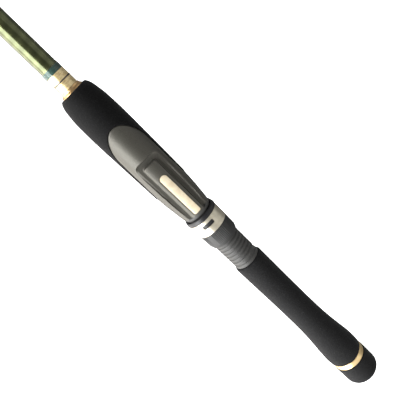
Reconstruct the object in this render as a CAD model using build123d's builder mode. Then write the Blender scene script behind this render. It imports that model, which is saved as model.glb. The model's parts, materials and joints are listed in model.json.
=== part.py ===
from build123d import *
import math
import os

# Two-piece spinning rod, assembled. Millimetres.
# Origin: centre of the flat end of the butt. +X runs to the tip, +Z is the thumb side of the reel seat,
# and the reel and the line guides are on the -Z side.

# ---- driving dimensions ----
ROD_LENGTH = 2100.0
GLUE = 0.1                    # radial glue gap between a glued piece and what it sits on
SLIDE_GAP = 0.08              # radial clearance of sliding fits
OVERCUT = 1.0                 # cuts and joined pieces run this far past the faces that they meet

# blank
BLANK_START = 8.0
BLANK_R0 = 7.25               # radius the taper would have at x = 0
BLANK_TAPER = 0.00285         # loss of radius per millimetre
BLANK_WALL = 1.3
BUTT_BLANK_END = 1085.0
FERRULE_START = 1020.0        # mouth of the tip section's socket
FERRULE_WALL = 1.1
FERRULE_RELIEF = 8.0          # socket carries on this far past the end of the butt section
TIP_R = 0.95
TIP_WALL = 0.35

# butt cap and ring
CAP_LENGTH = 23.0
CAP_R = 14.4
CAP_EDGE = 6.5
BUTT_RING_END = 28.4
BUTT_RING_R = 14.0
TENON_R = 12.3
RING_GAP = 0.02
RING_EDGE = 0.5

# rear grip: (x, radius) of its outside
REAR_GRIP_END = 151.2
REAR_GRIP_OUTLINE = [(28.4, 14.15), (34.0, 14.45), (46.5, 13.75), (58.5, 12.6), (75.5, 11.6),
                     (95.0, 11.33), (120.0, 11.36), (150.2, 11.5)]
GRIP_CORNER = 1.0

# reel seat
SEAT_BORE_R = 8.2
BARREL_R = 9.35
COLLAR_R = 10.3
COLLAR_END = 153.6
COLLAR_SLOPE = 1.0
THREAD_CREST_R = 10.25
THREAD_PITCH = 3.2
THREAD_START = 154.2
THREAD_END = 192.0
THREAD_ROOT_HALF = 1.27       # half width of a ridge where it leaves the barrel
THREAD_CREST_HALF = 0.62
THREAD_SINK = 0.25            # the ridge starts this far inside the barrel
THREAD_FLANK_GAP = 0.12
THREAD_TURN = 180.0           # the thread starts on the reel side
NUT_BORE_GAP = 0.15
SEAT_FACE_GAP = 0.05
SEAT_SHOULDER = 203.6
SEAT_END = 290.0
SEAT_CORE_R = 10.5
KEY_WIDTH = 3.4
KEYWAY_WIDTH = 4.0
KEYWAY_FLOOR_R = 8.75
KEYWAY_CUT = 4.0
SEAT_OUTLINE = [(203.6, 10.3), (206.2, 11.2), (209.4, 11.62), (218.0, 12.48), (229.4, 13.2), (250.0, 13.6),
                (270.0, 13.8), (290.0, 13.95)]
PLATFORM_Z = -10.5            # where the reel foot rests
POCKET_HALF_WIDTH = 8.2
POCKET_HEIGHT = 4.6
HOOD_WALL = 1.6
FIXED_HOOD_START = 231.0
FIXED_HOOD_STRAIGHT_END = 258.0
FIXED_HOOD_END = 272.0
FIXED_POCKET_END = 254.0
HOOD_CORNER = 3.5
KEYWAY_RUNOUT = 4.0
BULB_REACH = 24.0             # larger than any radius of the handle
ARBOR_REAR_X = 162.0
ARBOR_FRONT_X = 262.0
ARBOR_LENGTH = 22.0
FOAM_GAP = 0.15

# seat top: the island that carries the badge, and the channel round three sides of it
ISLAND_HALF = 5.2
ISLAND_FRONT = 254.0
ISLAND_CORNER = 1.8
ISLAND_TAIL = 5.0             # the island's outline starts this far behind the channel
CHANNEL_FRONT_HALF = 9.9
CHANNEL_REAR_HALF = 8.4
CHANNEL_FRONT = 258.5
CHANNEL_REAR = 206.0
CHANNEL_FLOOR_FRONT_Z = 11.3  # height of the floor's crown, on the middle plane, at its front and rear ends
CHANNEL_FLOOR_REAR_Z = 8.6
CHANNEL_FLOOR_R = 30.0        # the floor is gently rounded across the rod
CHANNEL_CORNER = 5.0
CHANNEL_REAR_CORNER = 1.2
BADGE_LOWEST_Z = 2.0
BADGE_START = 207.6
BADGE_LENGTH = 35.6
BADGE_WIDTH = 5.6
BADGE_RAISE = 0.25
BADGE_DEPTH = 0.6
BADGE_GAP = 0.05
BADGE_NOSE_FLAT = 0.05        # keeps the two nose fillets from meeting
BADGE_REAR_CORNER = 1.2

# moving hood, at its foremost place
HOOD_START = 189.2
HOOD_RIM_TOP = 199.9          # steel shell's rim at the top
LINER_RIM_TOP = 203.4         # plastic lip at the top
RIM_LEAN_Z = -4.0             # below this the rims lean forward, over the reel foot
RIM_LEAN = 0.5
HOOD_R = 12.2
HOOD_SHELL_WALL = 0.6
LIP_R = 12.45
HOOD_SLOT_X = 195.85
HOOD_SLOT_WIDTH = 3.1
HOOD_SLOT_LENGTH = 9.4
HOOD_SLOT_CORNER = 0.9
HOOD_SLOT_ANGLE = 7.0
HOOD_REACH = 26.0             # longer than the moving hood
LOBE_SLOPE_LENGTH = 8.0
MOVING_POCKET_START = 197.6
LIP_GAP = 0.1
KEY_TIP_R = 8.95
KEY_ROOT_R = 10.8
KEY_SETBACK = 1.0
POCKET_OVERLAP = 1.5          # the pocket is open upwards into the bore
LIP_FLARE_START = 201.5
LIP_FLARE_SLOPE = 0.24

# lock nut
NUT_START = 176.0
NUT_LENGTH = 13.1
NUT_R_FRONT = 12.1
NUT_R_REAR = 11.8
NUT_REAR_R = 10.8
NUT_TAPER_LENGTH = 2.6
NUT_FRONT_CHAMFER = 0.4
NUT_RIDGE_TURNS = 2.5
NUT_PANELS = 5
PANEL_TURN = 87.0             # the first panel is centred this far round from +Y
RIBS_PER_PANEL = 9
RIB_STEP = 5.6                # degrees between rib grooves
GROOVE_WIDTH = 0.6
GROOVE_DEPTH = 0.5
RIB_MARGIN = 0.5

# foregrip: (x, radius) of its outside
FOREGRIP_OUTLINE = [(231.0, 13.6), (243.0, 13.82), (267.0, 14.1), (285.0, 14.24), (297.5, 14.0),
                    (304.6, 13.55), (311.0, 12.6), (315.0, 11.5), (317.4, 10.0)]
FOREGRIP_CORNER = 0.05
OPENING_TIP = 286.3
OPENING_SHOULDER = 265.0
OPENING_HALF = 12.2
OPENING_REAR_HALF = 12.9
OPENING_FLOOR = 0.2

# winding check, wraps and trims at the handle
CHECK_START = 317.5
CHECK_END = 320.2
CHECK_R = 8.1
CHECK_EDGE = 0.5
CHECK_WAIST_X = 1.3           # the rim's hollow curve passes this far from the rear face
CHECK_WAIST_DROP = 0.75
CHECK_FRONT_R = 6.95
WRAP_START = 320.3
WRAP_END = 331.9
WRAP_THICKNESS = 0.18
TRIM_LINE_X = 326.2
TRIM_LINE_WIDTH = 0.95
TEAL_END = 335.8
LACQUER = 0.09
WRAP_FIT = 0.03               # radial gap between a wrap and what it lies on
TRIM_THICKNESS = 0.06
LACQUER_RUNOUT = 1.0          # the lacquer runs on past the last wrap
FERRULE_WRAP_LENGTH = 16.0
FERRULE_WRAP_SETBACK = 0.5
FERRULE_TRIM_LENGTH = 4.0

# guides: distance from the tip, ring bore radius, distance of the ring's centre from the axis, foot length
TIP_GUIDES = [("guide_1", 100.0, 2.4, 6.6, 7.0), ("guide_2", 210.0, 2.4, 7.0, 7.5),
              ("guide_3", 335.0, 2.7, 8.0, 8.5), ("guide_4", 475.0, 3.4, 10.0, 10.0),
              ("guide_5", 645.0, 4.6, 14.0, 12.0), ("guide_6", 860.0, 6.4, 20.0, 14.0)]
STRIPPER = ("stripper_guide", 1150.0, 10.2, 30.0, 17.0)
GUIDE_WIRE = 0.13             # wire radius as a share of the ring's bore radius, plus GUIDE_WIRE_MIN
GUIDE_WIRE_MIN = 0.28
RING_BASE = 0.45
RING_SHARE = 0.1
RING_ROUNDING = 0.35
RING_FIT = 0.03
BAND_SHARE = 0.7              # half width of the frame's band, as a share of the ring's thickness
FOOT_THICKNESS = 0.55
FOOT_TIP = 0.25
FOOT_WIDTH_BASE = 1.1
FOOT_WIDTH_SHARE = 0.12
LACQUER_OVERRUN = 0.6         # the lacquer runs on past the thread
WRAP_NEAR = 0.2               # a wrap covers this stretch of the foot, as shares of its length
WRAP_FAR = 1.15
LEG_SHARE = 0.55              # the foot starts this share of its length away from the ring
LEG_ROOT_SHARE = 0.12         # the leg runs on over this share of the foot
DOUBLE_FOOT_BORE = 4.0        # guides with a larger bore radius have two feet
TIP_TOP_BORE = 2.2
TIP_TOP_WIRE = 0.45
TIP_TOP_RISE = 0.6
TIP_TOP_AHEAD = 2.0
TIP_TOP_BAND_HALF = 0.6
TIP_TOP_STRUT_HALF = 0.63
TIP_TOP_STRUT_BACK = 4.0
TIP_TOP_STRUT_SINK = 0.3
TIP_TOP_WRAP_LENGTH = 8.9
TIP_TOP_WRAP_GAP = 0.1
TIP_TUBE_LENGTH = 11.0
TIP_TUBE_WALL = 0.3
TIP_TUBE_CAP = 0.5

os.makedirs("parts", exist_ok=True)
AXIS_X = Axis((0, 0, 0), (1, 0, 0))


def save(piece, name):
    piece.part.label = name
    export_step(piece.part, f"parts/{name}.step")


def blank_r(x):
    return BLANK_R0 - BLANK_TAPER * x


def tip_outer_r(x):
    """Outside of the tip section: a straight taper from the ferrule to the tip."""
    socket_r = blank_r(FERRULE_START) + SLIDE_GAP + FERRULE_WALL
    return socket_r + (TIP_R - socket_r) * (x - FERRULE_START) / (ROD_LENGTH - FERRULE_START)


def ring_of_revolution(points):
    """A closed outline in the XZ half-plane, turned about the rod's axis."""
    with BuildPart() as turned:
        with BuildSketch(Plane.XZ):
            with BuildLine():
                Polyline([(x, r) for x, r in points], close=True)
            make_face()
        revolve(axis=AXIS_X)
    return turned


def tube_between(x0, x1, outer0, outer1, inner0, inner1):
    return ring_of_revolution([(x0, inner0), (x1, inner1), (x1, outer1), (x0, outer0)])


def turned_grip(outline, bore0, bore1, front_corner):
    """A foam grip: smooth outside through the outline's points, tapered bore, chamfered front corner."""
    x0, r0 = outline[0]
    x1, r1 = outline[-1]
    with BuildPart() as grip:
        with BuildSketch(Plane.XZ):
            with BuildLine():
                Spline(outline)
                Polyline([(x1, r1), (x1 + front_corner, r1 - front_corner), (x1 + front_corner, bore1),
                          (x0, bore0), (x0, r0)])
            make_face()
        revolve(axis=AXIS_X)
    return grip


def seat_bulb(shrink):
    """The swollen part of the seat, solid, its outside drawn in by shrink."""
    rim = [(x, r - shrink) for x, r in SEAT_OUTLINE]
    with BuildPart() as bulb:
        with BuildSketch(Plane.XZ):
            with BuildLine():
                Spline(rim)
                Polyline([rim[-1], (rim[-1][0], 0), (rim[0][0], 0), rim[0]])
            make_face()
        revolve(axis=AXIS_X)
    return bulb


def opening_prism(grow):
    """Prism over the opening in the top of the foregrip: an elliptical front end and flaring sides."""
    x_back = FIXED_HOOD_START - 2 * OVERCUT
    shoulder = OPENING_HALF + grow
    back = OPENING_REAR_HALF + grow
    with BuildPart() as prism:
        with BuildSketch(Plane.XY.offset(OPENING_FLOOR - grow)):
            with BuildLine():
                EllipticalCenterArc((OPENING_SHOULDER, 0), OPENING_TIP - OPENING_SHOULDER + grow, shoulder,
                                    start_angle=-90, arc_size=180)
                Polyline([(OPENING_SHOULDER, shoulder), (FIXED_HOOD_START, back), (x_back, back),
                          (x_back, -back), (FIXED_HOOD_START, -back), (OPENING_SHOULDER, -shoulder)])
            make_face()
        extrude(amount=BULB_REACH)
    return prism


def hood_lobe(x0, x1, half_width, depth, corner):
    """Lobe under the rod that holds one end of the reel foot: a bar below the axis with rounded edges."""
    with BuildPart() as lobe:
        with BuildSketch(Plane.YZ.offset(x0)):
            with Locations((0, -depth / 2)):
                Rectangle(2 * half_width, depth)
            fillet(vertices().group_by(Axis.Y)[0], corner)
        extrude(amount=x1 - x0)
    return lobe


def helical_ridge(x0, length, r_start, r_end, half_start, half_end):
    """A thread ridge with straight flanks, right-handed about +X."""
    with BuildPart() as ridge:
        with BuildLine() as line:
            Helix(pitch=THREAD_PITCH, height=length, radius=r_start, center=(x0, 0, 0), direction=(1, 0, 0))
        path = line.wires()[0]
        outward = (path @ 0 - Vector(x0, 0, 0)).normalized()
        with BuildSketch(Plane(origin=path @ 0, x_dir=outward, z_dir=path % 0)):
            with BuildLine():
                Polyline((0, -half_start), (r_end - r_start, -half_end), (r_end - r_start, half_end),
                         (0, half_start), close=True)
            make_face()
        sweep(path=path, is_frenet=True)
    return ridge


def badge_prism(grow):
    """The badge's outline as a prism: round front end, lightly rounded rear corners."""
    with BuildPart() as prism:
        with BuildSketch(Plane.XY.offset(BADGE_LOWEST_Z)):
            with Locations((BADGE_START + BADGE_LENGTH / 2, 0)):
                Rectangle(BADGE_LENGTH + 2 * grow, BADGE_WIDTH + 2 * grow)
            fillet(vertices().group_by(Axis.X)[-1], BADGE_WIDTH / 2 - BADGE_NOSE_FLAT)
            fillet(vertices().group_by(Axis.X)[0], BADGE_REAR_CORNER)
        extrude(amount=BULB_REACH)
    return prism


def hood_outside(shrink, rim_top):
    """Outside of the moving hood: a round shell with a lobe under it, its rim leaning forward below."""
    lobe_depth = hood_depth - shrink
    with BuildPart() as outside:
        with BuildSketch(Plane.YZ.offset(HOOD_START)):
            Circle(HOOD_R - shrink)
        extrude(amount=HOOD_REACH)
        add(hood_lobe(HOOD_START, HOOD_START + HOOD_REACH, hood_half - shrink, lobe_depth,
                      HOOD_CORNER - shrink).part)
        # the lobe slopes down from the back
        with BuildSketch(Plane.XZ):
            with BuildLine():
                Polyline((HOOD_START - OVERCUT, -HOOD_R + shrink), (HOOD_START, -HOOD_R + shrink),
                         (HOOD_START + LOBE_SLOPE_LENGTH, -lobe_depth - OVERCUT),
                         (HOOD_START - OVERCUT, -lobe_depth - OVERCUT), close=True)
            make_face()
        extrude(amount=BULB_REACH, both=True, mode=Mode.SUBTRACT)
        # the rim
        with BuildSketch(Plane.XZ):
            with BuildLine():
                Polyline((rim_top, BULB_REACH), (rim_top, RIM_LEAN_Z),
                         (rim_top + RIM_LEAN * (BULB_REACH + RIM_LEAN_Z), -BULB_REACH),
                         (rim_top + HOOD_REACH, -BULB_REACH), (rim_top + HOOD_REACH, BULB_REACH), close=True)
            make_face()
        extrude(amount=BULB_REACH, both=True, mode=Mode.SUBTRACT)
    return outside


# ---- handle ----
butt_blank = tube_between(BLANK_START, BUTT_BLANK_END, blank_r(BLANK_START), blank_r(BUTT_BLANK_END),
                          blank_r(BLANK_START) - BLANK_WALL, blank_r(BUTT_BLANK_END) - BLANK_WALL)
save(butt_blank, "butt_blank")

with BuildPart() as butt_cap:
    with BuildSketch(Plane.YZ):
        Circle(CAP_R)
    extrude(amount=CAP_LENGTH)
    fillet(butt_cap.edges().sort_by(Axis.X)[0], CAP_EDGE)
    with BuildSketch(Plane.YZ.offset(BLANK_START - GLUE)):
        Circle(blank_r(BLANK_START) + GLUE)
    extrude(amount=CAP_LENGTH, mode=Mode.SUBTRACT)
save(butt_cap, "butt_cap")

with BuildPart() as butt_ring:
    with BuildSketch(Plane.YZ.offset(CAP_LENGTH + RING_GAP)):
        Circle(BUTT_RING_R)
        Circle(TENON_R + GLUE, mode=Mode.SUBTRACT)
    extrude(amount=BUTT_RING_END - CAP_LENGTH - 2 * RING_GAP)
    fillet(butt_ring.edges().filter_by(GeomType.CIRCLE).group_by(SortBy.RADIUS)[-1], RING_EDGE)
save(butt_ring, "butt_ring")

with BuildPart() as rear_grip:
    add(turned_grip(REAR_GRIP_OUTLINE, blank_r(BUTT_RING_END) + GLUE, blank_r(REAR_GRIP_END) + GLUE,
                    GRIP_CORNER).part)
    with BuildSketch(Plane.YZ.offset(CAP_LENGTH + RING_GAP)):
        Circle(TENON_R)
        Circle(blank_r(CAP_LENGTH) + GLUE, mode=Mode.SUBTRACT)
    extrude(amount=BUTT_RING_END - CAP_LENGTH)
save(rear_grip, "rear_grip")

# ---- reel seat ----
fixed_hood_half = POCKET_HALF_WIDTH + HOOD_WALL
fixed_hood_depth = POCKET_HEIGHT - PLATFORM_Z + HOOD_WALL

with BuildPart() as seat_zone:
    with BuildSketch(Plane.YZ.offset(SEAT_SHOULDER - OVERCUT)):
        Circle(BULB_REACH)
    extrude(amount=FIXED_HOOD_START - SEAT_SHOULDER + OVERCUT)
    with BuildSketch(Plane.YZ.offset(FIXED_HOOD_START)):
        Circle(SEAT_CORE_R)
    extrude(amount=SEAT_END - FIXED_HOOD_START)
    add(opening_prism(0).part)

channel_length = CHANNEL_FRONT - CHANNEL_REAR
floor_slope = math.atan2(CHANNEL_FLOOR_FRONT_Z - CHANNEL_FLOOR_REAR_Z, channel_length)
floor_plane = Plane(origin=(CHANNEL_REAR, 0, CHANNEL_FLOOR_REAR_Z - CHANNEL_FLOOR_R), x_dir=(0, 1, 0),
                    z_dir=(math.cos(floor_slope), 0, math.sin(floor_slope)))
with BuildPart() as channel:
    with BuildSketch(Plane.XY.offset(BADGE_LOWEST_Z)):
        with BuildLine():
            Polyline((CHANNEL_REAR, -CHANNEL_REAR_HALF), (CHANNEL_FRONT, -CHANNEL_FRONT_HALF),
                     (CHANNEL_FRONT, CHANNEL_FRONT_HALF), (CHANNEL_REAR, CHANNEL_REAR_HALF), close=True)
        make_face()
        fillet(vertices().group_by(Axis.X)[-1], CHANNEL_CORNER)
        fillet(vertices().group_by(Axis.X)[0], CHANNEL_REAR_CORNER)
        island_length = ISLAND_FRONT - CHANNEL_REAR + ISLAND_TAIL
        with Locations((ISLAND_FRONT - island_length / 2, 0)):
            RectangleRounded(island_length, 2 * ISLAND_HALF, ISLAND_CORNER, mode=Mode.SUBTRACT)
    extrude(amount=BULB_REACH)
    with BuildSketch(floor_plane):
        Circle(CHANNEL_FLOOR_R)
    extrude(amount=2 * channel_length, both=True, mode=Mode.SUBTRACT)

with BuildPart() as badge_recess:
    add(badge_prism(BADGE_GAP).part)
    add(seat_bulb(BADGE_DEPTH).part, mode=Mode.SUBTRACT)

with BuildPart() as seat_badge:
    add(badge_prism(0).part)
    add(seat_bulb(BADGE_DEPTH - BADGE_GAP).part, mode=Mode.SUBTRACT)
    add(seat_bulb(-BADGE_RAISE).part, mode=Mode.INTERSECT)
save(seat_badge, "seat_badge")

external_thread = helical_ridge(THREAD_START + THREAD_ROOT_HALF, THREAD_END - THREAD_START,
                                BARREL_R - THREAD_SINK, THREAD_CREST_R, THREAD_ROOT_HALF, THREAD_CREST_HALF)

with BuildPart() as seat_body:
    add(seat_bulb(0).part)
    add(seat_zone.part, mode=Mode.INTERSECT)
    add(hood_lobe(FIXED_HOOD_START, FIXED_HOOD_END, fixed_hood_half, fixed_hood_depth, HOOD_CORNER).part)
    with BuildSketch(Plane.XZ):
        with BuildLine():
            Polyline((FIXED_HOOD_STRAIGHT_END, -fixed_hood_depth - OVERCUT),
                     (FIXED_HOOD_END + OVERCUT, -fixed_hood_depth - OVERCUT),
                     (FIXED_HOOD_END + OVERCUT, -SEAT_CORE_R), (FIXED_HOOD_END - OVERCUT, -SEAT_CORE_R),
                     close=True)
        make_face()
    extrude(amount=BULB_REACH, both=True, mode=Mode.SUBTRACT)
    with BuildSketch(Plane.XZ):
        with BuildLine():
            Polyline((REAR_GRIP_END + SEAT_FACE_GAP, 0), (REAR_GRIP_END + SEAT_FACE_GAP, COLLAR_R),
                     (COLLAR_END, COLLAR_R), (COLLAR_END + COLLAR_SLOPE, BARREL_R),
                     (SEAT_SHOULDER + OVERCUT, BARREL_R), (SEAT_SHOULDER + OVERCUT, 0), close=True)
        make_face()
    revolve(axis=AXIS_X)
    add(external_thread.part, rotation=(THREAD_TURN, 0, 0))
    # keyway along the reel side of the barrel
    with BuildSketch(Plane.YZ.offset(COLLAR_END)):
        with Locations((0, -KEYWAY_FLOOR_R - KEYWAY_CUT / 2)):
            Rectangle(KEYWAY_WIDTH, KEYWAY_CUT)
    extrude(amount=SEAT_SHOULDER + KEYWAY_RUNOUT - COLLAR_END, mode=Mode.SUBTRACT)
    # flat platform for the reel foot, running on into the fixed hood's pocket
    with BuildSketch(Plane.YZ.offset(SEAT_SHOULDER - OVERCUT)):
        with Locations((0, PLATFORM_Z - POCKET_HEIGHT / 2)):
            Rectangle(2 * BULB_REACH, POCKET_HEIGHT)
    extrude(amount=FIXED_HOOD_START - SEAT_SHOULDER + OVERCUT, mode=Mode.SUBTRACT)
    with BuildSketch(Plane.YZ.offset(FIXED_HOOD_START - OVERCUT)):
        with Locations((0, PLATFORM_Z - POCKET_HEIGHT / 2)):
            Rectangle(2 * POCKET_HALF_WIDTH, POCKET_HEIGHT)
    extrude(amount=FIXED_POCKET_END - FIXED_HOOD_START + OVERCUT, mode=Mode.SUBTRACT)
    add(channel.part, mode=Mode.SUBTRACT)
    add(badge_recess.part, mode=Mode.SUBTRACT)
    with BuildSketch(Plane.YZ.offset(REAR_GRIP_END - OVERCUT)):
        Circle(SEAT_BORE_R)
    extrude(amount=SEAT_END - REAR_GRIP_END + 2 * OVERCUT, mode=Mode.SUBTRACT)
save(seat_body, "seat_body")

for arbor_name, arbor_x in (("seat_arbor_rear", ARBOR_REAR_X), ("seat_arbor_front", ARBOR_FRONT_X)):
    arbor = tube_between(arbor_x, arbor_x + ARBOR_LENGTH, SEAT_BORE_R - GLUE, SEAT_BORE_R - GLUE,
                         blank_r(arbor_x) + GLUE, blank_r(arbor_x + ARBOR_LENGTH) + GLUE)
    save(arbor, arbor_name)

# ---- foregrip ----
with BuildPart() as foregrip:
    add(turned_grip(FOREGRIP_OUTLINE, 0, 0, FOREGRIP_CORNER).part)
    add(opening_prism(FOAM_GAP).part, mode=Mode.SUBTRACT)
    add(hood_lobe(FIXED_HOOD_START - OVERCUT, FIXED_HOOD_END + FOAM_GAP, fixed_hood_half + FOAM_GAP,
                  BULB_REACH, HOOD_CORNER).part, mode=Mode.SUBTRACT)
    with BuildSketch(Plane.YZ.offset(FIXED_HOOD_START - OVERCUT)):
        Circle(SEAT_CORE_R + GLUE)
    extrude(amount=SEAT_END + GLUE - FIXED_HOOD_START + OVERCUT, mode=Mode.SUBTRACT)
    with BuildSketch(Plane.YZ.offset(SEAT_END)):
        Circle(blank_r(SEAT_END) + GLUE)
    extrude(amount=CHECK_START - SEAT_END + OVERCUT, mode=Mode.SUBTRACT)
save(foregrip, "foregrip")

# ---- moving hood and lock nut ----
hood_half = fixed_hood_half + HOOD_SHELL_WALL
hood_depth = fixed_hood_depth + HOOD_SHELL_WALL
slot_tilt = math.radians(HOOD_SLOT_ANGLE)
slot_plane = Plane(origin=(HOOD_SLOT_X, 0, 0), x_dir=(1, 0, 0),
                   z_dir=(0, math.sin(slot_tilt), math.cos(slot_tilt)))

with BuildPart() as hood_shell:
    add(hood_outside(0, HOOD_RIM_TOP).part)
    add(hood_outside(HOOD_SHELL_WALL, HOOD_RIM_TOP + OVERCUT).part, mode=Mode.SUBTRACT)
    with BuildSketch(slot_plane):
        RectangleRounded(HOOD_SLOT_WIDTH, HOOD_SLOT_LENGTH, HOOD_SLOT_CORNER)
    extrude(amount=BULB_REACH, mode=Mode.SUBTRACT)
save(hood_shell, "hood_shell")

liner_shrink = HOOD_SHELL_WALL + SLIDE_GAP / 2
# the lip stands out in front of the steel rim
with BuildPart() as liner_lip:
    add(hood_outside(HOOD_R - LIP_R, LINER_RIM_TOP).part)
    add(hood_outside(-OVERCUT, HOOD_RIM_TOP + LIP_GAP).part, mode=Mode.SUBTRACT)

with BuildPart() as hood_liner:
    add(hood_outside(liner_shrink, LINER_RIM_TOP).part)
    add(liner_lip.part)
    with BuildSketch(Plane.YZ.offset(HOOD_START - OVERCUT)):
        Circle(THREAD_CREST_R + SLIDE_GAP)
    extrude(amount=HOOD_REACH + 2 * OVERCUT, mode=Mode.SUBTRACT)
    # flared mouth that clears the seat's rounded shoulder
    with BuildSketch(Plane.XZ):
        with BuildLine():
            Polyline((LIP_FLARE_START, 0), (LIP_FLARE_START, THREAD_CREST_R + SLIDE_GAP),
                     (LIP_FLARE_START + HOOD_REACH, THREAD_CREST_R + SLIDE_GAP + LIP_FLARE_SLOPE * HOOD_REACH),
                     (LIP_FLARE_START + HOOD_REACH, 0), close=True)
        make_face()
    revolve(axis=AXIS_X, mode=Mode.SUBTRACT)
    # pocket for the reel foot
    with BuildSketch(Plane.YZ.offset(MOVING_POCKET_START)):
        with Locations((0, PLATFORM_Z - POCKET_HEIGHT / 2 + POCKET_OVERLAP / 2)):
            Rectangle(2 * POCKET_HALF_WIDTH, POCKET_HEIGHT + POCKET_OVERLAP)
    extrude(amount=HOOD_REACH, mode=Mode.SUBTRACT)
    # key that rides in the barrel's keyway
    with BuildSketch(Plane.YZ.offset(HOOD_START + KEY_SETBACK)):
        with Locations((0, -(KEY_TIP_R + KEY_ROOT_R) / 2)):
            Rectangle(KEY_WIDTH, KEY_ROOT_R - KEY_TIP_R)
    extrude(amount=MOVING_POCKET_START - HOOD_START - KEY_SETBACK)
save(hood_liner, "hood_liner")

flank_slope = (THREAD_ROOT_HALF - THREAD_CREST_HALF) / (THREAD_CREST_R - BARREL_R + THREAD_SINK)
nut_bore_r = THREAD_CREST_R + NUT_BORE_GAP
nut_ridge_r = BARREL_R + NUT_BORE_GAP


def nut_ridge_half(r):
    """Half width of the nut's ridge at radius r: half the gap in the barrel's thread, less the clearance."""
    barrel_half = THREAD_ROOT_HALF - flank_slope * (r - BARREL_R + THREAD_SINK)
    return THREAD_PITCH / 2 - barrel_half - THREAD_FLANK_GAP


turns_behind = math.ceil((NUT_START - THREAD_START) / THREAD_PITCH)
nut_ridge_start = THREAD_START + THREAD_ROOT_HALF + (turns_behind + 0.5) * THREAD_PITCH
internal_thread = helical_ridge(nut_ridge_start, NUT_RIDGE_TURNS * THREAD_PITCH, nut_bore_r + THREAD_SINK,
                                nut_ridge_r, nut_ridge_half(nut_bore_r + THREAD_SINK), nut_ridge_half(nut_ridge_r))

with BuildPart() as lock_nut:
    with BuildSketch(Plane.XZ):
        with BuildLine():
            Polyline((NUT_START, nut_bore_r), (NUT_START, NUT_REAR_R), (NUT_START + NUT_TAPER_LENGTH, NUT_R_REAR),
                     (NUT_START + NUT_LENGTH - NUT_FRONT_CHAMFER, NUT_R_FRONT),
                     (NUT_START + NUT_LENGTH, NUT_R_FRONT - NUT_FRONT_CHAMFER), (NUT_START + NUT_LENGTH, nut_bore_r),
                     close=True)
        make_face()
    revolve(axis=AXIS_X)
    for panel in range(NUT_PANELS):
        middle = PANEL_TURN + panel * 360 / NUT_PANELS
        with BuildSketch(Plane.YZ.offset(NUT_START + RIB_MARGIN)):
            with PolarLocations(NUT_R_FRONT, RIBS_PER_PANEL,
                                start_angle=middle - RIB_STEP * (RIBS_PER_PANEL - 1) / 2,
                                angular_range=RIB_STEP * RIBS_PER_PANEL):
                Rectangle(2 * GROOVE_DEPTH, GROOVE_WIDTH)
        extrude(amount=NUT_LENGTH - NUT_FRONT_CHAMFER - 2 * RIB_MARGIN, mode=Mode.SUBTRACT)
    add(internal_thread.part, rotation=(THREAD_TURN, 0, 0))
save(lock_nut, "lock_nut")

# ---- winding check and the wraps in front of it ----
check_bore = blank_r(CHECK_START) + GLUE
with BuildPart() as winding_check:
    with BuildSketch(Plane.XZ):
        with BuildLine():
            front_rim = Spline((CHECK_START + CHECK_EDGE, CHECK_R),
                               (CHECK_START + CHECK_WAIST_X, CHECK_R - CHECK_WAIST_DROP),
                               (CHECK_END, CHECK_FRONT_R))
            Polyline(front_rim @ 1, (CHECK_END, check_bore), (CHECK_START, check_bore), (CHECK_START, CHECK_R),
                     front_rim @ 0)
        make_face()
    revolve(axis=AXIS_X)
save(winding_check, "winding_check")


def sleeve(x0, x1, base, thickness):
    """A sleeve of even thickness lying on the butt blank, base above its surface."""
    return tube_between(x0, x1, blank_r(x0) + base + thickness, blank_r(x1) + base + thickness,
                        blank_r(x0) + base, blank_r(x1) + base)


save(sleeve(WRAP_START, WRAP_END, WRAP_FIT, WRAP_THICKNESS), "handle_wrap")
save(sleeve(WRAP_END + WRAP_FIT, TEAL_END, WRAP_FIT, WRAP_THICKNESS), "handle_trim_wrap")
save(sleeve(TRIM_LINE_X - TRIM_LINE_WIDTH / 2, TRIM_LINE_X + TRIM_LINE_WIDTH / 2, 2 * WRAP_FIT + WRAP_THICKNESS,
            TRIM_THICKNESS), "handle_trim_line")
save(sleeve(WRAP_START, TEAL_END + LACQUER_RUNOUT, 3 * WRAP_FIT + WRAP_THICKNESS + TRIM_THICKNESS, LACQUER),
     "handle_lacquer")

# ---- tip section ----
socket_end = BUTT_BLANK_END + FERRULE_RELIEF
tip_blank_end = ROD_LENGTH - TIP_TUBE_CAP
tip_blank = ring_of_revolution([(FERRULE_START, blank_r(FERRULE_START) + SLIDE_GAP),
                                (socket_end, blank_r(socket_end) + SLIDE_GAP),
                                (tip_blank_end, TIP_R - TIP_WALL), (tip_blank_end, tip_outer_r(tip_blank_end)),
                                (FERRULE_START, tip_outer_r(FERRULE_START))])
save(tip_blank, "tip_blank")


def tip_sleeve(x0, x1, base, thickness):
    return tube_between(x0, x1, tip_outer_r(x0) + base + thickness, tip_outer_r(x1) + base + thickness,
                        tip_outer_r(x0) + base, tip_outer_r(x1) + base)


ferrule_wrap_start = FERRULE_START + FERRULE_WRAP_SETBACK
ferrule_wrap_end = FERRULE_START + FERRULE_WRAP_LENGTH
ferrule_trim_end = ferrule_wrap_end + FERRULE_TRIM_LENGTH
save(tip_sleeve(ferrule_wrap_start, ferrule_wrap_end, WRAP_FIT, WRAP_THICKNESS), "ferrule_wrap")
save(tip_sleeve(ferrule_wrap_end + WRAP_FIT, ferrule_trim_end, WRAP_FIT, WRAP_THICKNESS), "ferrule_trim_wrap")
save(tip_sleeve(ferrule_wrap_start, ferrule_trim_end + LACQUER_RUNOUT, 2 * WRAP_FIT + WRAP_THICKNESS, LACQUER),
     "ferrule_lacquer")

# ---- line guides ----


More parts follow.
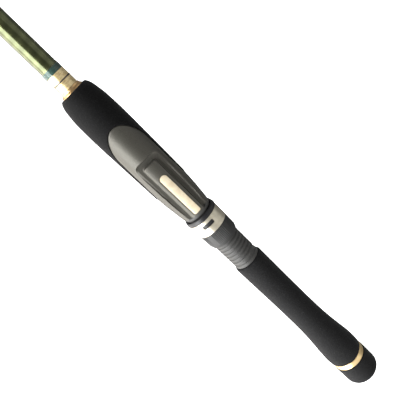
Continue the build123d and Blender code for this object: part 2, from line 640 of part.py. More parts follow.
def guide_ring(x, height, bore_r):
    """The ceramic ring: a rounded band whose axis runs along the rod."""
    thickness = ring_thickness(bore_r)
    with BuildPart() as ring:
        with BuildSketch(Plane(origin=(x, 0, -height), x_dir=(0, 1, 0), z_dir=(1, 0, 0))):
            Circle(bore_r + thickness)
            Circle(bore_r, mode=Mode.SUBTRACT)
        extrude(amount=thickness, both=True)
        fillet(ring.edges().filter_by(GeomType.CIRCLE), thickness * RING_ROUNDING)
    return ring


def ring_thickness(bore_r):
    return RING_BASE + RING_SHARE * bore_r


def foot_sleeve(x0, x1, blank_radius, foot_width, base, thickness):
    """A sleeve round the blank and the guide's foot under it, base away from both."""
    with BuildPart() as sleeve_piece:
        for grow, mode in ((base + thickness, Mode.ADD), (base, Mode.SUBTRACT)):
            with BuildSketch(Plane.YZ.offset(x0)):
                Circle(blank_radius + grow)
                with Locations((0, -blank_radius)):
                    Rectangle(foot_width + 2 * grow, 2 * (FOOT_THICKNESS + grow))
            extrude(amount=x1 - x0, mode=mode)
    return sleeve_piece


def guide(name, x, outer_r, bore_r, height, foot_length, foot_sides):
    """One line guide: frame, ceramic ring, thread wraps on the feet and the lacquer over them.

    outer_r gives the blank's radius at any x, and foot_sides is (-1,) for one foot or (-1, 1) for two.
    """
    save(guide_ring(x, height, bore_r), f"{name}_ring")
    band_in = bore_r + ring_thickness(bore_r) + RING_FIT
    wire = GUIDE_WIRE_MIN + GUIDE_WIRE * bore_r
    band_half = ring_thickness(bore_r) * BAND_SHARE
    foot_width = FOOT_WIDTH_BASE + FOOT_WIDTH_SHARE * bore_r
    ring_plane = Plane(origin=(x, 0, -height), x_dir=(0, 1, 0), z_dir=(1, 0, 0))
    spread = foot_length * LEG_SHARE

    def seat_r(side):
        """The blank's largest radius under the foot and wrap on one side of the ring."""
        return outer_r(min(x + side * (spread + foot_length * WRAP_FAR + LACQUER_OVERRUN), x + side * spread))

    with BuildPart() as frame:
        with BuildSketch(ring_plane):
            Circle(band_in + 2 * wire)
            Circle(band_in, mode=Mode.SUBTRACT)
        extrude(amount=band_half, both=True)
        for side in foot_sides:
            top = seat_r(side) + WRAP_FIT
            # foot
            with BuildSketch(Plane.XZ):
                with BuildLine():
                    Polyline((x + side * spread, -top), (x + side * (spread + foot_length), -top),
                             (x + side * (spread + foot_length), -top - FOOT_TIP),
                             (x + side * spread, -top - FOOT_THICKNESS), close=True)
                make_face()
            extrude(amount=foot_width / 2, both=True)
            # leg from the foot to the ring's band
            with BuildSketch(Plane.XZ):
                with BuildLine():
                    Polyline((x + side * (spread + foot_length * LEG_ROOT_SHARE), -top),
                             (x + side * (spread - 2 * wire), -top),
                             (x - side * band_half, -height + band_in + wire),
                             (x + side * band_half, -height + band_in + wire / 2), close=True)
                make_face()
            extrude(amount=foot_width / 2, both=True)
        with BuildSketch(ring_plane):
            Circle(band_in)
        extrude(amount=spread + foot_length, both=True, mode=Mode.SUBTRACT)
    save(frame, f"{name}_frame")
    layers = ((f"{name}_wrap", WRAP_FIT, WRAP_THICKNESS, 0.0),
              (f"{name}_lacquer", 2 * WRAP_FIT + WRAP_THICKNESS, LACQUER, LACQUER_OVERRUN))
    for layer_name, base, thickness, overrun in layers:
        with BuildPart() as layer:
            for side in foot_sides:
                near = x + side * (spread + foot_length * WRAP_NEAR - overrun)
                far = x + side * (spread + foot_length * WRAP_FAR + overrun)
                add(foot_sleeve(min(near, far), max(near, far), seat_r(side), foot_width, base, thickness).part)
        save(layer, layer_name)


for guide_name, from_tip, bore, drop, foot in TIP_GUIDES:
    feet = (-1, 1) if bore > DOUBLE_FOOT_BORE else (-1,)
    guide(guide_name, ROD_LENGTH - from_tip, tip_outer_r, bore, drop, foot, feet)
guide(STRIPPER[0], ROD_LENGTH - STRIPPER[1], blank_r, *STRIPPER[2:], (-1, 1))

# ---- tip-top ----
top_tube_r = TIP_R + TIP_TUBE_WALL
ring_seat_r = TIP_TOP_BORE + ring_thickness(TIP_TOP_BORE) + RING_FIT
top_height = ring_seat_r + 2 * TIP_TOP_WIRE + TIP_TOP_RISE
top_x = ROD_LENGTH + TIP_TOP_AHEAD
tip_tube_start = ROD_LENGTH - TIP_TUBE_LENGTH
with BuildPart() as tip_top_frame:
    with BuildSketch(Plane.YZ.offset(tip_tube_start)):
        Circle(top_tube_r)
    extrude(amount=TIP_TUBE_LENGTH)
    with BuildSketch(Plane.XZ):
        with BuildLine():
            Polyline((ROD_LENGTH - TIP_TOP_STRUT_BACK, -top_tube_r + TIP_TOP_STRUT_SINK), (ROD_LENGTH, 0.0),
                     (top_x + TIP_TOP_BAND_HALF, -TIP_TOP_RISE), (top_x + TIP_TOP_BAND_HALF, -top_height),
                     (top_x - TIP_TOP_BAND_HALF, -top_height), close=True)
        make_face()
    extrude(amount=TIP_TOP_STRUT_HALF, both=True)
    with BuildSketch(Plane.YZ.offset(top_x)):
        with Locations((0, -top_height)):
            Circle(ring_seat_r + 2 * TIP_TOP_WIRE)
    extrude(amount=TIP_TOP_BAND_HALF, both=True)
    with BuildSketch(Plane.YZ.offset(top_x)):
        with Locations((0, -top_height)):
            Circle(ring_seat_r)
    extrude(amount=TIP_TUBE_LENGTH, both=True, mode=Mode.SUBTRACT)
    with BuildSketch(Plane.YZ.offset(tip_tube_start - OVERCUT)):
        Circle(tip_outer_r(tip_tube_start) + WRAP_FIT)
    extrude(amount=TIP_TUBE_LENGTH - TIP_TUBE_CAP + OVERCUT + WRAP_FIT, mode=Mode.SUBTRACT)
save(tip_top_frame, "tip_top_frame")
save(guide_ring(top_x, top_height, TIP_TOP_BORE), "tip_top_ring")
tip_wrap_end = tip_tube_start - TIP_TOP_WRAP_GAP
tip_wrap_start = tip_wrap_end - TIP_TOP_WRAP_LENGTH
save(tip_sleeve(tip_wrap_start, tip_wrap_end, WRAP_FIT, WRAP_THICKNESS), "tip_top_wrap")
save(tip_sleeve(tip_wrap_start - LACQUER_RUNOUT, tip_wrap_end, 2 * WRAP_FIT + WRAP_THICKNESS, LACQUER),
     "tip_top_lacquer")
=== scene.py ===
import json
import math

import bpy
from mathutils import Matrix, Vector

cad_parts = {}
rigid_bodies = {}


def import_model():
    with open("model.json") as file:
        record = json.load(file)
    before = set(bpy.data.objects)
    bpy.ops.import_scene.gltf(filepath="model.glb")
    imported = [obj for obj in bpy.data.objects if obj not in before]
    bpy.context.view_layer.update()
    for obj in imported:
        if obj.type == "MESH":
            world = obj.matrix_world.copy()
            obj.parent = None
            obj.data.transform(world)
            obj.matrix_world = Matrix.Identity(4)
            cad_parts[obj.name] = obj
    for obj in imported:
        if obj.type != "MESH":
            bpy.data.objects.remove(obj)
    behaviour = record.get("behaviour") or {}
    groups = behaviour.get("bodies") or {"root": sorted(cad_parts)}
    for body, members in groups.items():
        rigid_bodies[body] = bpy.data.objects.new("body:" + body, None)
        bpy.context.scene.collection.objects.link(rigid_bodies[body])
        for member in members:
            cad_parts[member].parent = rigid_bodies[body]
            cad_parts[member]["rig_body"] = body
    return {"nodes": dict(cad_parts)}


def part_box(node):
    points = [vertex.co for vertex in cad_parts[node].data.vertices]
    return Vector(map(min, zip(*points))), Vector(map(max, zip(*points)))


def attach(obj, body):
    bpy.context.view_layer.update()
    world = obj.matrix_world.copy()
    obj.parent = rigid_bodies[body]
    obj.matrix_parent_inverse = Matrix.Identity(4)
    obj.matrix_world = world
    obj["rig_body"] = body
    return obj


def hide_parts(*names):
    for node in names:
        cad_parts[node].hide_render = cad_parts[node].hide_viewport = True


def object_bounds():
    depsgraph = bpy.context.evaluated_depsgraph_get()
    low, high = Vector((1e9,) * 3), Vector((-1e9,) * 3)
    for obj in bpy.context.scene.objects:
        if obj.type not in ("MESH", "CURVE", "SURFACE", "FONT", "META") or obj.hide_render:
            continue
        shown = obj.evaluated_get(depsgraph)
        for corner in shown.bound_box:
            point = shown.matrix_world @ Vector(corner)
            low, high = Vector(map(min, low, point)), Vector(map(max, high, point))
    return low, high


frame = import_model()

# Looks of the spinning rod. Metres, the rod's own frame: +X to the tip, +Z the thumb side of the reel seat.
nodes = frame["nodes"]
cad_low, cad_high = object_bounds()


# ---------------------------------------------------------------- node helpers

def material(name, **values):
    """A node material with the Principled shader's own sockets set to the given constants."""
    made = bpy.data.materials.new(name)
    made.use_nodes = True
    shader = made.node_tree.nodes["Principled BSDF"]
    for socket, value in values.items():
        shader.inputs[socket.replace("_", " ")].default_value = value
    return made


def node(made, kind, **settings):
    added = made.node_tree.nodes.new(kind)
    for key, value in settings.items():
        if key in added.inputs:
            added.inputs[key].default_value = value
        else:
            setattr(added, key, value)
    return added


def link(made, source, target):
    made.node_tree.links.new(source, target)


def shader_of(made):
    return made.node_tree.nodes["Principled BSDF"]


def coordinates(made, scale=(1.0, 1.0, 1.0)):
    """Object coordinates, stretched by scale."""
    source = node(made, "ShaderNodeTexCoord")
    mapping = node(made, "ShaderNodeMapping")
    mapping.inputs["Scale"].default_value = scale
    link(made, source.outputs["Object"], mapping.inputs["Vector"])
    return mapping.outputs["Vector"]


def noise(made, scale, detail=2.0, stretch=(1.0, 1.0, 1.0)):
    texture = node(made, "ShaderNodeTexNoise", Scale=scale, Detail=detail)
    link(made, coordinates(made, stretch), texture.inputs["Vector"])
    return texture.outputs["Fac"]


def around(made):
    """The angle about the rod's axis, in radians."""
    source = node(made, "ShaderNodeTexCoord")
    split = node(made, "ShaderNodeSeparateXYZ")
    link(made, source.outputs["Object"], split.inputs["Vector"])
    angle = node(made, "ShaderNodeMath", operation="ARCTAN2")
    link(made, split.outputs["Y"], angle.inputs[0])
    link(made, split.outputs["Z"], angle.inputs[1])
    return angle.outputs[0]


def ramp(made, source, stops):
    """A colour ramp from (position, (r, g, b)) stops."""
    made_ramp = node(made, "ShaderNodeValToRGB")
    elements = made_ramp.color_ramp.elements
    while len(elements) < len(stops):
        elements.new(0.5)
    for element, (position, colour) in zip(elements, stops):
        element.position = position
        element.color = (*colour, 1.0)
    link(made, source, made_ramp.inputs["Fac"])
    return made_ramp.outputs["Color"]


def spread(made, source, low, high):
    """Maps a 0 to 1 texture on to low to high."""
    mapped = node(made, "ShaderNodeMapRange")
    mapped.inputs["To Min"].default_value = low
    mapped.inputs["To Max"].default_value = high
    link(made, source, mapped.inputs["Value"])
    return mapped.outputs["Result"]


def bump(made, height, distance, strength=1.0, before=None):
    made_bump = node(made, "ShaderNodeBump", Strength=strength, Distance=distance)
    link(made, height, made_bump.inputs["Height"])
    if before is not None:
        link(made, before, made_bump.inputs["Normal"])
    link(made, made_bump.outputs["Normal"], shader_of(made).inputs["Normal"])
    return made_bump.outputs["Normal"]


def tinted(made, source, stops):
    link(made, ramp(made, source, stops), shader_of(made).inputs["Base Color"])


def rough(made, source, low, high):
    link(made, spread(made, source, low, high), shader_of(made).inputs["Roughness"])


# ---------------------------------------------------------------- materials

def foam_material(name, shade, specular):
    """Closed-cell foam: fine pores, soft sheen, slightly paler specks. Its colours are multiples of shade."""
    made = material(name, Sheen_Weight=0.03, Sheen_Roughness=0.5, Specular_IOR_Level=specular)
    grain = noise(made, 1900.0, 3.0)
    broad = noise(made, 90.0, 2.0)
    tinted(made, grain, [(position, (shade * share, shade * share, shade * share * 1.03))
                         for position, share in ((0.32, 0.55), (0.55, 1.0), (0.8, 3.0))])
    rough(made, broad, 0.62, 0.8)
    pores = node(made, "ShaderNodeTexVoronoi", Scale=1500.0)
    link(made, coordinates(made), pores.inputs["Vector"])
    first = bump(made, pores.outputs["Distance"], 0.00012, 0.5)
    bump(made, grain, 0.00015, 0.6, first)
    return made


def seat_material():
    """Gunmetal paint on moulded nylon: fine metal flake under a satin coat."""
    made = material("seat_paint", Metallic=0.52, Coat_Weight=0.08, Coat_Roughness=0.3)
    flake = noise(made, 5200.0, 1.0)
    tinted(made, flake, [(0.3, (0.060, 0.057, 0.047)), (0.6, (0.083, 0.079, 0.066)),
                         (0.85, (0.135, 0.130, 0.110))])
    rough(made, noise(made, 160.0, 3.0), 0.38, 0.48)
    bump(made, noise(made, 2600.0, 2.0), 0.00003, 0.25)
    return made


def blank_material():
    """Dark olive carbon under clear gloss: a faint helical tape pattern and fine sanding lines."""
    made = material("blank", Metallic=0.88, Coat_Weight=0.8, Coat_Roughness=0.04)
    tape_turning = 900.0         # radians per metre along the rod
    tape_share = 0.16            # how much of the colour follows the tape
    source = node(made, "ShaderNodeTexCoord")
    split = node(made, "ShaderNodeSeparateXYZ")
    link(made, source.outputs["Object"], split.inputs["Vector"])
    turns = node(made, "ShaderNodeMath", operation="MULTIPLY_ADD")
    link(made, split.outputs["X"], turns.inputs[0])
    turns.inputs[1].default_value = tape_turning
    link(made, around(made), turns.inputs[2])
    wave = node(made, "ShaderNodeMath", operation="SINE")
    link(made, turns.outputs[0], wave.inputs[0])
    mixed = node(made, "ShaderNodeMath", operation="MULTIPLY_ADD")
    link(made, wave.outputs[0], mixed.inputs[0])
    mixed.inputs[1].default_value = tape_share
    link(made, noise(made, 420.0, 3.0, (0.25, 1.0, 1.0)), mixed.inputs[2])
    tinted(made, mixed.outputs[0], [(0.25, (0.065, 0.075, 0.026)), (0.6, (0.100, 0.113, 0.042)),
                                    (0.9, (0.150, 0.165, 0.070))])
    rough(made, noise(made, 700.0, 2.0), 0.18, 0.3)
    return made


def turned_metal(name, dark, light, low, high, lines=5200.0, metallic=1.0):
    """Metal with fine lines turned round the axis, and small changes of colour."""
    made = material(name, Metallic=metallic)
    cut = noise(made, lines, 2.0, (1.0, 0.03, 0.03))
    tinted(made, noise(made, 260.0, 2.0), [(0.3, dark), (0.7, light)])
    rough(made, cut, low, high)
    bump(made, cut, 0.00001, 0.35)
    return made


def plastic(name, dark, light, low, high, grain=1400.0, relief=0.00004, coat=0.0):
    made = material(name, Coat_Weight=coat, Coat_Roughness=0.12)
    tinted(made, noise(made, grain, 3.0), [(0.3, dark), (0.75, light)])
    rough(made, noise(made, 220.0, 3.0), low, high)
    bump(made, noise(made, grain, 3.0), relief, 0.4)
    return made


def thread(name, dark, light, metallic):
    """Wound thread: round strands side by side round the rod, each a little different, with painted shade
    darkening the grooves between them.
    """
    made = material(name, Metallic=metallic, Coat_Weight=0.8, Coat_Roughness=0.05)
    pitch = 0.00022
    groove_shade_share = 0.35          # how much painted shade darkens the colour in the grooves between strands
    source = node(made, "ShaderNodeTexCoord")
    split = node(made, "ShaderNodeSeparateXYZ")
    link(made, source.outputs["Object"], split.inputs["Vector"])
    strands = node(made, "ShaderNodeMath", operation="MULTIPLY")
    link(made, split.outputs["X"], strands.inputs[0])
    strands.inputs[1].default_value = math.pi / pitch
    wave = node(made, "ShaderNodeMath", operation="SINE")
    link(made, strands.outputs[0], wave.inputs[0])
    height = node(made, "ShaderNodeMath", operation="ABSOLUTE")
    link(made, wave.outputs[0], height.inputs[0])
    mixed = node(made, "ShaderNodeMath", operation="MULTIPLY_ADD")
    link(made, height.outputs[0], mixed.inputs[0])
    mixed.inputs[1].default_value = groove_shade_share
    link(made, noise(made, 1500.0, 2.0, (1.0, 0.25, 0.25)), mixed.inputs[2])
    # painted shade: the colour runs darker in the grooves between strands and lighter on their crowns
    tinted(made, mixed.outputs[0], [(0.35, dark), (0.85, light)])
    rough(made, noise(made, 900.0, 2.0), 0.25, 0.4)
    bump(made, height.outputs[0], 0.00004, 0.5)
    return made


def lacquer_material():
    """Clear epoxy: a thin see-through film that adds only a little haze."""
    made = material("lacquer", Alpha=0.02, Base_Color=(0.25, 0.23, 0.18, 1.0))
    rough(made, noise(made, 300.0, 2.0), 0.02, 0.08)
    return made


foam = foam_material("foam", 0.0102, 0.07)
# the foregrip wears a darker copy of the same foam: painted shade for the weaker light towards the tip
front_foam_painted_shade = foam_material("front_foam_painted_shade", 0.0047, 0.08)
seat = seat_material()
blank = blank_material()
gold = turned_metal("gold", (0.82, 0.58, 0.27), (0.95, 0.75, 0.42), 0.26, 0.4)
copper_gold = turned_metal("copper_gold", (0.70, 0.42, 0.17), (0.88, 0.62, 0.33), 0.24, 0.38)
champagne = turned_metal("champagne_steel", (0.62, 0.57, 0.45), (0.78, 0.73, 0.60), 0.32, 0.44)
badge = turned_metal("badge_plate", (0.74, 0.62, 0.43), (0.86, 0.76, 0.57), 0.28, 0.42, 2600.0, 0.45)
steel = turned_metal("guide_steel", (0.42, 0.42, 0.43), (0.62, 0.62, 0.63), 0.12, 0.25)
barrel_plastic = plastic("barrel_plastic", (0.026, 0.026, 0.024), (0.060, 0.059, 0.056), 0.44, 0.58)
nut_plastic = plastic("nut_plastic", (0.012, 0.0122, 0.0118), (0.028, 0.028, 0.027), 0.5, 0.62)
lip_plastic = plastic("lip_plastic", (0.006, 0.006, 0.007), (0.014, 0.014, 0.016), 0.3, 0.42)
arbor_plastic = plastic("arbor_plastic", (0.16, 0.12, 0.08), (0.3, 0.25, 0.18), 0.6, 0.8)
ceramic = plastic("ceramic", (0.010, 0.011, 0.014), (0.030, 0.031, 0.036), 0.05, 0.12, 3000.0, 0.00001, 0.6)
gold_thread = thread("gold_thread", (0.48, 0.31, 0.10), (0.98, 0.80, 0.44), 0.8)
teal_thread = thread("teal_thread", (0.002, 0.018, 0.014), (0.009, 0.062, 0.048), 0.3)
olive_thread = thread("olive_thread", (0.012, 0.013, 0.006), (0.05, 0.052, 0.03), 0.1)
dark_thread = thread("dark_thread", (0.02, 0.014, 0.008), (0.07, 0.05, 0.03), 0.1)
lacquer = lacquer_material()


def material_for(name):
    """Which material a CAD node wears."""
    if name.endswith("lacquer"):
        return lacquer
    if name.endswith("_trim_wrap"):
        return teal_thread
    if name in ("handle_wrap", "ferrule_wrap"):
        return gold_thread
    if name.endswith("_wrap"):
        return olive_thread
    if name.endswith("_frame"):
        return steel
    if name.endswith("_ring") and name != "butt_ring":
        return ceramic
    if name.startswith("seat_arbor"):
        return arbor_plastic
    return {"butt_blank": blank, "tip_blank": blank,
            "butt_cap": foam, "rear_grip": foam, "foregrip": front_foam_painted_shade,
            "butt_ring": gold, "winding_check": copper_gold, "seat_body": seat, "seat_badge": badge,
            "hood_shell": champagne, "hood_liner": lip_plastic, "lock_nut": nut_plastic,
            "handle_trim_line": dark_thread}[name]


for name, piece in nodes.items():
    piece.data.materials.clear()
    piece.data.materials.append(material_for(name))

# ---------------------------------------------------------------- pieces rebuilt from the frame

CHANNEL_REAR = 0.2065            # the channel's floor, just inside its end walls
CHANNEL_FRONT = 0.2580
CHANNEL_HALF = 0.0080            # half the width over which it is levelled
CHANNEL_REAR_CROWN = 0.0086      # height of its crown at each end, and the radius across it
CHANNEL_FRONT_CROWN = 0.0113
CHANNEL_ROUND = 0.030
CHANNEL_BLEND = 0.0007           # points this far from the floor keep their place
CHANNEL_PULL = 1.6               # points nearer the floor than about a third of that move all the way
THREAD_ROOT = 0.00935            # radii of the barrel and of its screw thread
THREAD_CREST = 0.01025
THREAD_GAIN = 1.8                # what the relaxing has taken from the ridges is given back
LIP_DEPTH = 0.0014               # the bead is shaped this far in from the lip's outside
LIP_FADE = 0.004                 # and fades out over this height below the axis
LIP_PEAK = 0.42                  # shares of the lip's length: where the bead is fullest, and its rear hollow
LIP_REAR = 0.2
LIP_FRONT_DROP = 0.0013
LIP_REAR_DROP = 0.0005
RELAX = 0.5                      # share of the way to its neighbours that a point moves in each round
GRAIN_SIZE = 0.0004              # size of the foam's pits
GRAIN_LEVEL = 0.7                # the level of their texture that leaves a point in place
STRAND_PITCH = 0.00024
STRAND_DEPTH = 0.00004
STEPS_PER_STRAND = 6
WOUND_SEGMENTS = 72
TAPER_STEPS = 40
LACQUER_THIN = 0.00006           # lacquer loses this much at its very ends
LACQUER_EDGE = 0.0012            # and starts to thin this far from them
SAME_PLACE = 1e-6


def stand_in(name, mesh, node_name, worn):
    """A new piece that stands for a CAD node, rides on its body and wears a material."""
    mesh.materials.clear()
    mesh.materials.append(worn)
    for polygon in mesh.polygons:
        polygon.use_smooth = True
    piece = bpy.data.objects.new(name, mesh)
    bpy.context.scene.collection.objects.link(piece)
    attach(piece, nodes[node_name]["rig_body"])
    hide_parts(node_name)
    return piece


def softened(node_name, voxel, rounds, keep=1.0, grain=0.0):
    """The node's own shape, remeshed finely and relaxed so its edges are moulded.

    grain, in metres, adds fine pits; keep is the share of the faces that stays.
    """
    source = nodes[node_name]
    work = bpy.data.objects.new("work", source.data.copy())
    bpy.context.scene.collection.objects.link(work)
    remesh = work.modifiers.new("remesh", "REMESH")
    remesh.mode = "VOXEL"
    remesh.voxel_size = voxel
    smooth = work.modifiers.new("smooth", "SMOOTH")
    smooth.factor = RELAX
    smooth.iterations = rounds
    if grain:
        texture = bpy.data.textures.new("grain_" + node_name, "CLOUDS")
        texture.noise_scale = GRAIN_SIZE
        pits = work.modifiers.new("pits", "DISPLACE")
        pits.texture = texture
        pits.texture_coords = "GLOBAL"
        pits.strength = grain
        pits.mid_level = GRAIN_LEVEL
    if keep < 1.0:
        thin = work.modifiers.new("thin", "DECIMATE")
        thin.ratio = keep
    depsgraph = bpy.context.evaluated_depsgraph_get()
    mesh = bpy.data.meshes.new_from_object(work.evaluated_get(depsgraph))
    mesh.name = node_name + "_fine"
    bpy.data.objects.remove(work)
    return stand_in(node_name + "_fine", mesh, node_name, material_for(node_name))


def end_radii(node_name):
    """Both ends of a turned node: (x, outer radius, inner radius) at its low and high x."""
    low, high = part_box(node_name)
    places = [v.co for v in nodes[node_name].data.vertices]
    ends = []
    for x in (low[0], high[0]):
        radii = [math.hypot(place.y, place.z) for place in places if abs(place.x - x) < SAME_PLACE]
        ends.append((x, max(radii), min(radii)))
    return ends


def turned(name, node_name, outline, segments=96):
    """A closed outline of (x, radius) points turned about the rod's axis."""
    count = len(outline)
    points = []
    for step in range(segments):
        angle = 2 * math.pi * step / segments
        points += [(x, r * math.sin(angle), r * math.cos(angle)) for x, r in outline]
    faces = []
    for step in range(segments):
        here = step * count
        there = (step + 1) % segments * count
        for index in range(count):
            after = (index + 1) % count
            faces.append((here + index, there + index, there + after, here + after))
    mesh = bpy.data.meshes.new(name)
    mesh.from_pydata(points, [], faces)
    mesh.update()
    return stand_in(name, mesh, node_name, material_for(node_name))


def tapered_outline(node_name, stations, shape=None):
    """Outline of a tapered tube: its outside in small steps, raised by shape(share, length), and its bore."""
    (x0, outer0, inner0), (x1, outer1, inner1) = end_radii(node_name)
    outline = []
    for index in range(stations + 1):
        share = index / stations
        lift = shape(share, x1 - x0) if shape else 0.0
        outline.append((x0 + (x1 - x0) * share, outer0 + (outer1 - outer0) * share + lift))
    return [(x0, inner0)] + outline + [(x1, inner1)]


def strands(share, length):
    """Height of wound thread: round strands side by side."""
    turn = share * length / STRAND_PITCH
    return -STRAND_DEPTH * (1 - abs(math.sin(math.pi * turn)))


def meniscus(share, length):
    """Lacquer thins out to nothing over its last stretch at each end."""
    edge = min(share, 1 - share) * length
    return -LACQUER_THIN * max(0.0, 1 - edge / LACQUER_EDGE) ** 2


def unpainted_barrel(piece):
    """The threaded barrel behind the moving hood's lip is bare moulded plastic."""
    piece.data.materials.append(barrel_plastic)
    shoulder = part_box("hood_shell")[1].x
    for polygon in piece.data.polygons:
        if polygon.center.x < shoulder:
            polygon.material_index = 1


def sharper_thread(piece):
    """Gives the relaxed screw thread its full height again, never past the moulding's own radii."""
    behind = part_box("hood_shell")[1].x
    middle = (THREAD_ROOT + THREAD_CREST) / 2
    for vertex in piece.data.vertices:
        place = vertex.co
        radius = math.hypot(place.y, place.z)
        if place.x < behind and THREAD_ROOT <= radius <= THREAD_CREST:
            wanted = min(THREAD_CREST, max(THREAD_ROOT, middle + (radius - middle) * THREAD_GAIN))
            vertex.co.y = place.y * wanted / radius
            vertex.co.z = place.z * wanted / radius


def flat_channel(piece):
    """Levels the crowned floor of the channel round the badge, down to its height by the outer walls."""
    for vertex in piece.data.vertices:
        place = vertex.co
        share = (place.x - CHANNEL_REAR) / (CHANNEL_FRONT - CHANNEL_REAR)
        across = min(abs(place.y), CHANNEL_HALF)
        if not 0 <= share <= 1 or place.z < 0:
            continue
        crown = CHANNEL_REAR_CROWN + (CHANNEL_FRONT_CROWN - CHANNEL_REAR_CROWN) * share
        floor_here = crown - across * across / (2 * CHANNEL_ROUND)
        level = crown - CHANNEL_HALF * CHANNEL_HALF / (2 * CHANNEL_ROUND)
        above = abs(place.z - floor_here)
        near = max(0.0, 1 - above / CHANNEL_BLEND)
        vertex.co.z = place.z - (floor_here - level) * min(1.0, CHANNEL_PULL * near)


def rounded_lip(piece):
    """Rounds the lip in front of the steel rim into a bead, on its upper part where it is a plain ring."""
    rim = max(v.co.x for v in nodes["hood_shell"].data.vertices if v.co.z > 0)
    length = max(v.co.x for v in piece.data.vertices if v.co.z > 0) - rim
    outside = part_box("hood_liner")[1].z
    for vertex in piece.data.vertices:
        place = vertex.co
        ahead = (place.x - rim) / length
        radius = math.hypot(place.y, place.z)
        if ahead <= 0 or radius < outside - LIP_DEPTH:
            continue
        outer_share = min(1.0, (radius - outside + LIP_DEPTH) / LIP_DEPTH)
        fade = min(1.0, max(0.0, (place.z + LIP_FADE) / LIP_FADE))
        front = max(0.0, ahead - LIP_PEAK) / (1 - LIP_PEAK)
        rear = max(0.0, LIP_REAR - ahead) / LIP_REAR
        drop = LIP_FRONT_DROP * (1 - math.sqrt(max(0.0, 1 - front * front))) + LIP_REAR_DROP * rear * rear
        smaller = 1 - drop * outer_share * fade / radius
        vertex.co.y = place.y * smaller
        vertex.co.z = place.z * smaller


softened("rear_grip", 0.0005, 2, grain=0.00005)
softened("butt_cap", 0.0005, 4, grain=0.00005)
softened("foregrip", 0.0004, 3, grain=0.00005)
seat_fine = softened("seat_body", 0.00035, 8, keep=0.5)
flat_channel(seat_fine)
sharper_thread(seat_fine)
unpainted_barrel(seat_fine)
rounded_lip(softened("hood_liner", 0.00025, 5, keep=0.5))
softened("lock_nut", 0.0002, 2)

for blank_name in ("butt_blank", "tip_blank"):
    turned(blank_name + "_fine", blank_name, tapered_outline(blank_name, TAPER_STEPS))
for wrap_name in ("handle_wrap", "handle_trim_wrap", "handle_trim_line",
                  "ferrule_wrap", "ferrule_trim_wrap", "tip_top_wrap"):
    low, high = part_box(wrap_name)
    steps = STEPS_PER_STRAND * max(1, round((high[0] - low[0]) / STRAND_PITCH))
    turned(wrap_name + "_wound", wrap_name, tapered_outline(wrap_name, steps, strands), WOUND_SEGMENTS)
for coat_name in ("handle_lacquer", "ferrule_lacquer", "tip_top_lacquer"):
    turned(coat_name + "_flow", coat_name, tapered_outline(coat_name, TAPER_STEPS, meniscus))

# ---------------------------------------------------------------- camera

LEAN = math.radians(19.8)        # how far the view leans along the rod from straight down
SIDE_TURN = math.radians(1.07)
ROLL = math.radians(1.6)         # the thumb side is turned a little away from the camera
CAMERA_AT = Vector((0.325, 0.0, 0.324))
ACROSS, DOWN = 0.72217, 0.69172  # the rod's direction in the picture

toward_butt = Vector((-math.cos(LEAN), 0, math.sin(LEAN)))
side = Vector((0, 1, 0))
forward = Vector((-math.sin(LEAN), 0, -math.cos(LEAN))) * math.cos(SIDE_TURN) - side * math.sin(SIDE_TURN)
right = toward_butt * ACROSS - side * DOWN
right = (right - forward * right.dot(forward)).normalized()
up = right.cross(forward)
camera = bpy.data.objects.new("camera", bpy.data.cameras.new("camera"))
bpy.context.scene.collection.objects.link(camera)
camera.matrix_world = Matrix.Rotation(ROLL, 4, "X") @ Matrix((
    (right.x, up.x, -forward.x, CAMERA_AT.x), (right.y, up.y, -forward.y, CAMERA_AT.y),
    (right.z, up.z, -forward.z, CAMERA_AT.z), (0, 0, 0, 1)))
camera.data.lens = 45.0
camera.data.sensor_width = 36.0
camera.data.clip_start = 0.01
bpy.context.scene.camera = camera

# ---------------------------------------------------------------- floor and lights


def floor_material():
    made = material("floor", Roughness=0.9, Emission_Color=(1, 1, 1, 1), Emission_Strength=0.62)
    tinted(made, noise(made, 8.0, 3.0), [(0.3, (0.86, 0.86, 0.86)), (0.7, (0.9, 0.9, 0.9))])
    return made


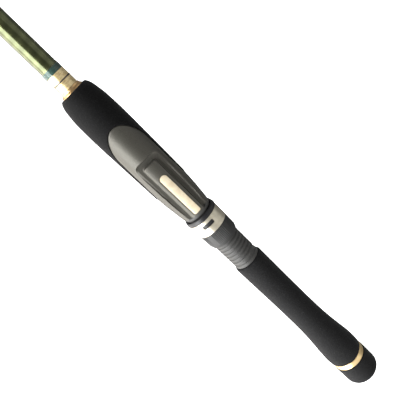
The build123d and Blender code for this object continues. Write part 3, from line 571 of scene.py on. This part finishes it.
floor_mesh = bpy.data.meshes.new("floor")
FLOOR_HALF = 6.0
FLOOR_GAP = 0.002
floor_z = cad_low.z - FLOOR_GAP
corners = [(x * FLOOR_HALF, y * FLOOR_HALF, floor_z) for x, y in ((-1, -1), (1, -1), (1, 1), (-1, 1))]
floor_mesh.from_pydata(corners, [], [(0, 1, 2, 3)])
floor = bpy.data.objects.new("floor", floor_mesh)
bpy.context.scene.collection.objects.link(floor)
floor_mesh.materials.append(floor_material())
floor.visible_glossy = False
floor.visible_shadow = False


def area_light(name, place, target, size, power, colour=(1, 1, 1)):
    data = bpy.data.lights.new(name, "AREA")
    data.shape = "RECTANGLE"
    data.size, data.size_y = size
    data.energy = power
    data.color = colour
    lamp = bpy.data.objects.new(name, data)
    bpy.context.scene.collection.objects.link(lamp)
    lamp.location = place
    lamp.rotation_euler = (Vector(target) - Vector(place)).to_track_quat("-Z", "Y").to_euler()
    return lamp


area_light("window", (0.2, 1.15, 0.72), (0.15, 0, -0.02), (3.6, 1.1), 95.0, (0.98, 0.99, 1.0))
area_light("low_window", (0.2, 1.1, -0.35), (0.15, 0, 0.0), (3.6, 1.2), 48.0, (1.0, 0.96, 0.92))
area_light("fill", (0.2, -1.5, 0.75), (0.2, 0, 0), (3.2, 1.9), 7.5, (1.0, 1.0, 0.98))
area_light("end", (-0.9, 0.0, 1.06), (0.18, 0, 0), (2.4, 1.1), 7.0, (1.0, 0.97, 0.92))
world = bpy.data.worlds.new("world")
bpy.context.scene.world = world
world.use_nodes = True
sky = world.node_tree.nodes["Background"]
sky.inputs["Color"].default_value = (1, 1, 1, 1)
SKY_LIGHT = 0.2                  # the backdrop lights the rod only faintly,
SKY_SEEN = 0.9                   # and is seen nearly as pale as the floor
seen = world.node_tree.nodes.new("ShaderNodeLightPath")
brightness = world.node_tree.nodes.new("ShaderNodeMapRange")
brightness.inputs["To Min"].default_value = SKY_LIGHT
brightness.inputs["To Max"].default_value = SKY_SEEN
world.node_tree.links.new(seen.outputs["Is Camera Ray"], brightness.inputs["Value"])
world.node_tree.links.new(brightness.outputs["Result"], sky.inputs["Strength"])
bpy.context.scene.view_settings.view_transform = "Standard"
